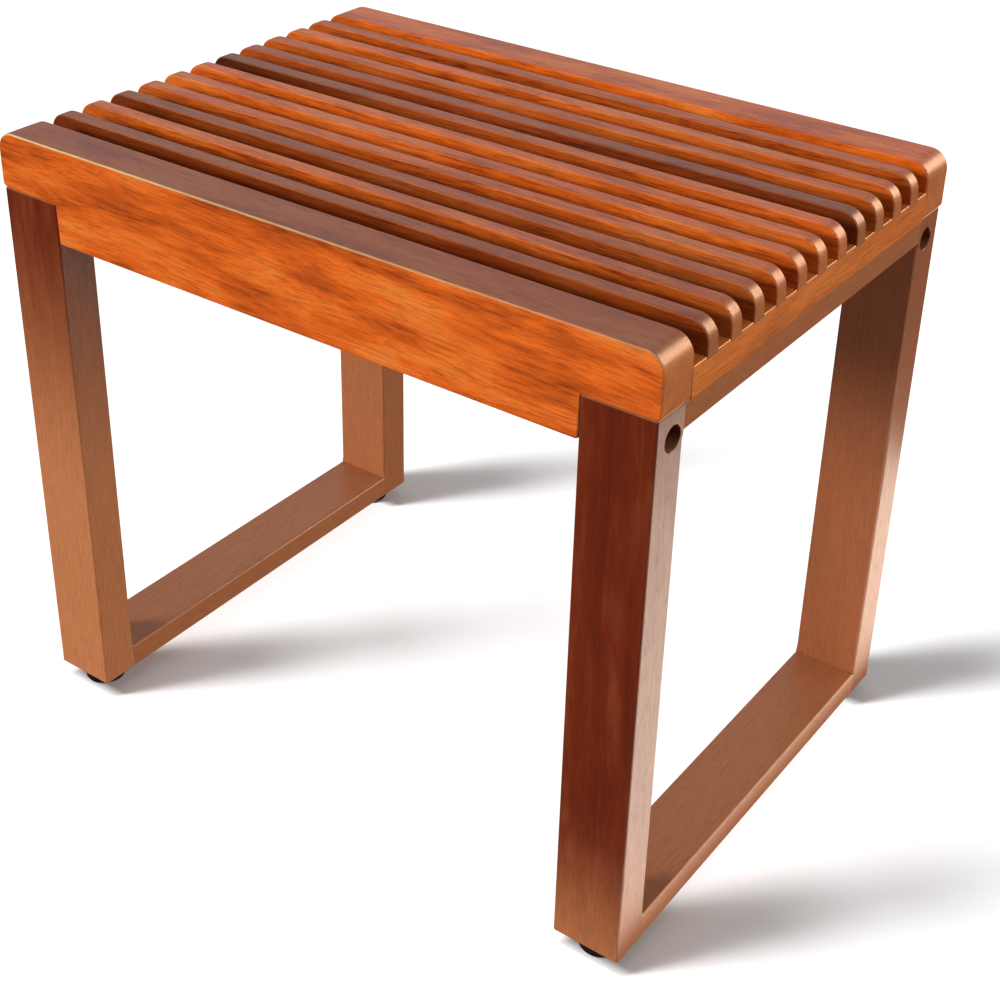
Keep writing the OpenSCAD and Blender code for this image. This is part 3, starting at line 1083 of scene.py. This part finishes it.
@dataclass
class LegFrames:
    """Both leg frames: legs, top rails and stretchers."""

    def build(self, workshop: Workshop) -> None:
        """Builds the frames.

        Args:
            workshop: where the finishes come from.
        """
        # The pale pairs make the front legs paler towards their feet: partly paler wood, partly painted light
        # bounced up off the floor
        cuts = {
            "front_left": Cut(Run.HEIGHT, (0.050, 0.020), 11.2, 0.02, (1.0, 0.0), turn=0.7, blend=0.6),
            "back_left": Cut(Run.HEIGHT, (0.045, -0.025), 12.6, -0.02, (0.7, 0.6)),
            "front_right": Cut(Run.HEIGHT, (0.040, 0.034), 13.9, 0.015, (0.9, 0.0), turn=0.08, blend=0.4),
            "back_right": Cut(Run.HEIGHT, (0.055, 0.02), 15.3, -0.015, (0.5, 0.5)),
        }
        for corner in CORNERS:
            Leg(corner, cuts[corner]).build(workshop)
        for number, side in enumerate(SIDES):
            CrossMember(
                f"top_rail_{side}", Cut(Run.DEPTH, (0.03, 0.04), 20.5 + number, 0.02, (0.7, 0.7))
            ).build(workshop)
            CrossMember(
                f"stretcher_{side}", Cut(Run.DEPTH, (0.05, 0.02), 22.5 + number, -0.02, (0.75, 0.75))
            ).build(workshop)


# ---- Bolts and feet ----


UPRIGHT = np.eye(3)
TURN_STEPS = 48


def profile(rows: list[tuple[float, float]], steps: int = TURN_STEPS) -> tuple[np.ndarray, np.ndarray]:
    """Makes a turning's profile from rows in millimetres.

    Args:
        rows: radius and height of each row.
        steps: bearings round the axis.

    Returns:
        Radius for each row and bearing, and height for each row, in metres.
    """
    table = np.array(rows) * MM
    return np.repeat(table[:, :1], steps, 1), table[:, 1]


@dataclass
class Bolts:
    """Socket-head bolts through the legs into the side rails, and their washers."""

    seat_depth: float = 14 * MM
    from_face: float = 16 * MM
    from_top: float = 16.5 * MM
    washer: float = 1.5 * MM
    head: float = 6 * MM
    shaft: float = 66.5 * MM
    key_across: float = 5 * MM

    def build(self, workshop: Workshop) -> None:
        """Builds the bolts and washers of all four corners.

        Inside the head's socket the radius is half the key's width divided by the cosine of the
        bearing from the nearest flat, which draws a hexagon.

        Args:
            workshop: where the finish comes from.
        """
        bolts, washers = Surface(), Surface()
        bearing = np.arange(TURN_STEPS) / TURN_STEPS * 2 * np.pi
        off_flat = np.mod(bearing + np.pi / 6, np.pi / 3) - np.pi / 6
        socket = self.key_across / 2 / np.cos(off_flat)
        shaft, head = self.shaft / MM, self.head / MM
        radius, height = profile(
            [
                (0, -shaft), (2.4, -shaft), (3, -shaft + 0.8), (3, -0.1), (4.6, -0.01), (4.95, 0.3),
                (4.98, head - 0.8), (4.7, head - 0.2), (4.4, head), (3.2, head), (0, head),
                (0, 3.2), (0, 3), (0, 2.8),
            ]
        )
        radius[10:13] = socket * np.array([[1.03], [1.0], [0.98]])
        height[10:13] = np.array([head, head - 0.15, 3.0]) * MM
        ring, ring_height = profile(
            [(3.2, 0.0), (6.8, 0.0), (7.0, 0.25), (7.0, 1.25), (6.8, 1.5), (3.4, 1.5), (3.2, 1.3)]
        )
        for corner in CORNERS:
            low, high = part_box(f"leg_{corner}")
            out_x, out_y = math.copysign(1, low.x), math.copysign(1, low.y)
            face_x = max(abs(low.x), abs(high.x))
            face_y = max(abs(low.y), abs(high.y))
            seat = np.array([
                out_x * (face_x - self.seat_depth), out_y * (face_y - self.from_face), high.z - self.from_top,
            ])
            frame = np.array([[0, out_x, 0], [0, 0, 1], [out_x, 0, 0]], float)
            bolts.add_turning(radius, height, seat + frame[2] * self.washer, frame)
            washers.add_turning(ring, ring_height, seat, frame, loop=True)
        workshop.place(bolts.mesh("socket_bolts"), ZINC, "stool", "zinc_steel", ["frame_bolts"])
        workshop.place(washers.mesh("washers"), ZINC, "stool", "zinc_steel", ["bolt_washers"])


@dataclass
class Foot:
    """A levelling foot: a threaded stud and the pad on its lower end."""

    corner: str
    pitch: float = 1.25 * MM
    thread_depth: float = 0.65 * MM
    rows_per_turn: int = 8

    def build(self, workshop: Workshop) -> None:
        """Builds the stud and the pad.

        The stud's radius is its full radius less the thread's depth times a triangle wave of the
        height in pitches less the bearing in turns, faded out at its two ends.

        Args:
            workshop: where the finishes come from.
        """
        low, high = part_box(f"foot_stud_{self.corner}")
        pad_low, pad_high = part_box(f"foot_pad_{self.corner}")
        origin = np.array([(pad_low.x + pad_high.x) / 2, (pad_low.y + pad_high.y) / 2, 0.0])
        base, top, full = low.z + 2.5 * MM, high.z, 4 * MM
        rows = np.linspace(base, top - 0.8 * MM, int((top - base) / self.pitch * self.rows_per_turn))
        bearing = np.arange(TURN_STEPS) / TURN_STEPS
        wave = np.abs(2 * np.mod(rows[:, None] / self.pitch - bearing, 1) - 1)
        fade = np.clip(np.minimum(rows - base, rows[-1] - rows) / self.pitch, 0, 1)[:, None]
        thread = full - self.thread_depth * (wave * fade + (1 - fade) * 0.5)
        plate, plate_height = profile([(0, 0), (6.3, 0), (6.5, 0.2), (6.5, 2.3), (6.3, 2.5)])
        tip, tip_height = profile([(3.2, -0.5), (2.8, 0), (0, 0)])
        stud = Surface()
        stud.add_turning(
            np.concatenate([plate, thread, tip]),
            np.concatenate([plate_height + low.z, rows, tip_height + top]),
            origin,
            UPRIGHT,
        )
        workshop.place(
            stud.mesh(f"stud_{self.corner}_thread"), ZINC, f"stud_{self.corner}", "zinc_steel",
            [f"foot_stud_{self.corner}"],
        )
        pad = Surface()
        radius, height = profile(
            [
                (0, 0.5), (8.6, 0.5), (9.2, 0.35), (9.6, 0), (12, 0), (12.8, 0.16),
                (13.5, 0.66), (13.86, 1.3),
                (14, 2), (14, 7.6), (13.9, 8.3), (13.6, 9.0), (13.0, 9.6), (12.2, 9.93), (11.4, 10),
                (9.2, 10), (8.6, 9.8), (8.2, 9.4), (7.6, 9.25), (4.4, 9.25), (4.1, 9.0), (4.1, 7.0), (0, 7.0),
            ],
            64,
        )
        pad.add_turning(radius, height, origin, UPRIGHT)
        workshop.place(
            pad.mesh(f"pad_{self.corner}_moulding"), NYLON, f"pad_{self.corner}", "foot_plastic",
            [f"foot_pad_{self.corner}"],
        )


@dataclass
class HiddenParts:
    """Parts inside the wood, which keep their CAD shapes."""

    def build(self, workshop: Workshop, nodes: dict[str, bpy.types.Object]) -> None:
        """Dresses the dowels, screws, nuts and inserts.

        Args:
            workshop: where the finishes come from.
            nodes: the CAD nodes by name.
        """
        for name, kind in (
            ("seat_dowels", BEECH), ("frame_dowels", BEECH), ("slat_screws", ZINC),
            ("barrel_nuts", ZINC), ("foot_inserts", BRASS),
        ):
            workshop.dress(nodes[name], kind)


# ---- Studio ----


@dataclass
class Studio:
    """Floor, lights and camera. None of it is part of the stool."""

    camera_place: tuple[float, float, float] = (0.588, -0.808, 0.799)
    aim: tuple[float, float, float] = (-0.033, 0.0805, 0.200)
    roll: float = 1.45
    lens: float = 63.2
    shift_up: float = -0.12
    glow: float = 0.12

    def build(self) -> None:
        """Sets up the floor, the lights and the camera."""
        scene = bpy.context.scene
        scene.view_settings.view_transform = "Standard"
        self._lights(self._floor())
        self._camera()

    def _floor(self) -> bpy.types.Object:
        """Lays a wide pale floor, which also glows a little as paper on a lit table does."""
        mesh = bpy.data.meshes.new("floor")
        reach = 8.0
        corners = [(-reach, -reach, 0), (reach, -reach, 0), (reach, reach, 0), (-reach, reach, 0)]
        mesh.from_pydata(corners, [], [(0, 1, 2, 3)])
        floor = bpy.data.objects.new("floor", mesh)
        bpy.context.scene.collection.objects.link(floor)
        material, _, feed = blank_material("white_paper_sweep")
        feed(
            Base_Color=linear("#f2f2f2"), Roughness=0.9,
            Emission_Color=(1.0, 1.0, 1.0, 1.0), Emission_Strength=self.glow,
        )
        mesh.materials.append(material)
        floor.visible_glossy = floor.visible_diffuse = False
        return floor

    def _lights(self, floor: bpy.types.Object) -> None:
        """Hangs the lights: suns for the wood, suns for the floor that only the leg frames shade, two cards.

        Args:
            floor: the floor.
        """
        self._surroundings()
        wood, base, legs, frames = (
            bpy.data.collections.new(name) for name in ("wood", "base", "legs", "frames")
        )
        base.objects.link(floor)
        for piece in bpy.context.scene.objects:
            if piece.type != "MESH" or piece is floor:
                continue
            wood.objects.link(piece)
            if piece.name.startswith(("leg_", "pad_", "stretcher_")):
                frames.objects.link(piece)
            if piece.name.startswith(("leg_", "pad_")):
                legs.objects.link(piece)
        self._sun("key", (-0.8, -0.75, 0.30), 1.25, 14, False, wood)
        self._sun("side_fill", (1.0, -0.15, 0.22), 0.5, 40, False, wood)
        self._sun("back_rim", (0.63, 0.68, 0.38), 0.2, 40, False, wood)
        rim_gloss = self._sun("rim_gloss", (0.5, 0.78, 0.38), 0.8, 34, True, wood)
        rim_gloss.visible_diffuse = False
        rim_gloss.data.color = linear("#ffd8b0")[:3]
        # One above the other, like a tall strip light, so each leg's streak is narrow and fades evenly
        for number, rise in enumerate((1.04, 1.56, 2.9), 1):
            self._sun(f"leg_shadows_{number}", (-0.643, -0.766, rise), 0.35, 10, False, base, legs)
        self._sun("contact_shadows", (-0.25, -0.2, 1.0), 0.15, 60, False, base, frames)
        card = self._card("right_card", (0.41, 0.13, 0.002), (0.32, 0.70), 4.0, frames)
        card.visible_diffuse = False
        bounce = self._card("floor_bounce", (0.0, 0.0, 0.001), (4.0, 4.0), 0.42, wood)
        bounce.visible_glossy = False

    def _surroundings(self) -> None:
        """Makes the studio round the stool: white to the camera, dim to the wood, dark low in its gloss."""
        world = bpy.data.worlds.new("studio")
        bpy.context.scene.world = world
        world.use_nodes = True
        tree = world.node_tree
        add = partial(add_node, tree)
        camera_ray = add("ShaderNodeLightPath", take="Is Camera Ray")
        glossy_ray = camera_ray.node.outputs["Is Glossy Ray"]
        up = add("ShaderNodeSeparateXYZ", {0: add("ShaderNodeTexCoord", take="Generated")}, take=2)
        rise = add("ShaderNodeMapRange", {"Value": up, "From Min": -0.1, "From Max": 0.3, "To Min": 0.05})
        seen = add("ShaderNodeMix", {0: glossy_ray, 2: 0.2, 3: 0.62})
        level = add("ShaderNodeMath", {0: rise, 1: seen}, operation="MULTIPLY")
        level = add("ShaderNodeMix", {0: camera_ray, 2: level, 3: 1.0})
        tree.links.new(level, tree.nodes["Background"].inputs["Strength"])
        tree.nodes["Background"].inputs["Color"].default_value = (1.0, 1.0, 1.0, 1.0)

    def _sun(
        self,
        name: str,
        source: tuple[float, float, float],
        strength: float,
        spread: float,
        gloss: bool,
        lit: bpy.types.Collection,
        shade: bpy.types.Collection | None = None,
    ) -> bpy.types.Object:
        """Hangs a far soft light.

        Args:
            name: its name.
            source: direction that it comes from.
            strength: light on a surface that faces it, as a share of white.
            spread: its width in degrees, which softens its shadows.
            gloss: whether it shows in the gloss.
            lit: what it lights.
            shade: what casts shadows in it, or nothing for everything.

        Returns:
            The light.
        """
        data = bpy.data.lights.new(name, "SUN")
        data.energy = strength * math.pi
        data.angle = math.radians(spread)
        light = bpy.data.objects.new(name, data)
        bpy.context.scene.collection.objects.link(light)
        light.rotation_euler = Vector(source).to_track_quat("Z", "Y").to_euler()
        light.light_linking.receiver_collection = lit
        light.light_linking.blocker_collection = shade
        light.visible_glossy = gloss
        return light

    def _card(
        self,
        name: str,
        place: tuple[float, float, float],
        size: tuple[float, float],
        level: float,
        lit: bpy.types.Collection,
    ) -> bpy.types.Object:
        """Lays a lit card on the floor, out of the camera's sight.

        Args:
            name: its name.
            place: its middle.
            size: its length and depth.
            level: its brightness, as a share of white.
            lit: what it shows in.

        Returns:
            The card's light.
        """
        data = bpy.data.lights.new(name, "AREA")
        data.shape = "RECTANGLE"
        data.size, data.size_y = size
        data.energy = level * math.pi * size[0] * size[1]
        data.color = linear("#ffe8d2")[:3]
        light = bpy.data.objects.new(name, data)
        bpy.context.scene.collection.objects.link(light)
        light.location = place
        light.rotation_euler = (math.pi, 0, 0)
        light.visible_camera = False
        light.light_linking.receiver_collection = lit
        return light

    def _camera(self) -> None:
        """Places the camera."""
        data = bpy.data.cameras.new("camera")
        data.lens = self.lens
        data.shift_y = self.shift_up
        camera = bpy.data.objects.new("camera", data)
        bpy.context.scene.collection.objects.link(camera)
        camera.location = self.camera_place
        look = (Vector(self.aim) - Vector(self.camera_place)).to_track_quat("-Z", "Y")
        camera.rotation_mode = "QUATERNION"
        camera.rotation_quaternion = look @ Matrix.Rotation(math.radians(self.roll), 3, "Z").to_quaternion()
        bpy.context.scene.camera = camera


def main() -> None:
    """Builds the stool's looks and its studio."""
    logging.basicConfig(level=logging.INFO, format="%(name)s: %(message)s")
    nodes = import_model()["nodes"]
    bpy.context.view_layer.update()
    workshop = Workshop()
    Seat().build(workshop)
    LegFrames().build(workshop)
    Bolts().build(workshop)
    for corner in CORNERS:
        Foot(corner).build(workshop)
    HiddenParts().build(workshop, nodes)
    Studio().build()


if __name__ == "__main__":
    main()
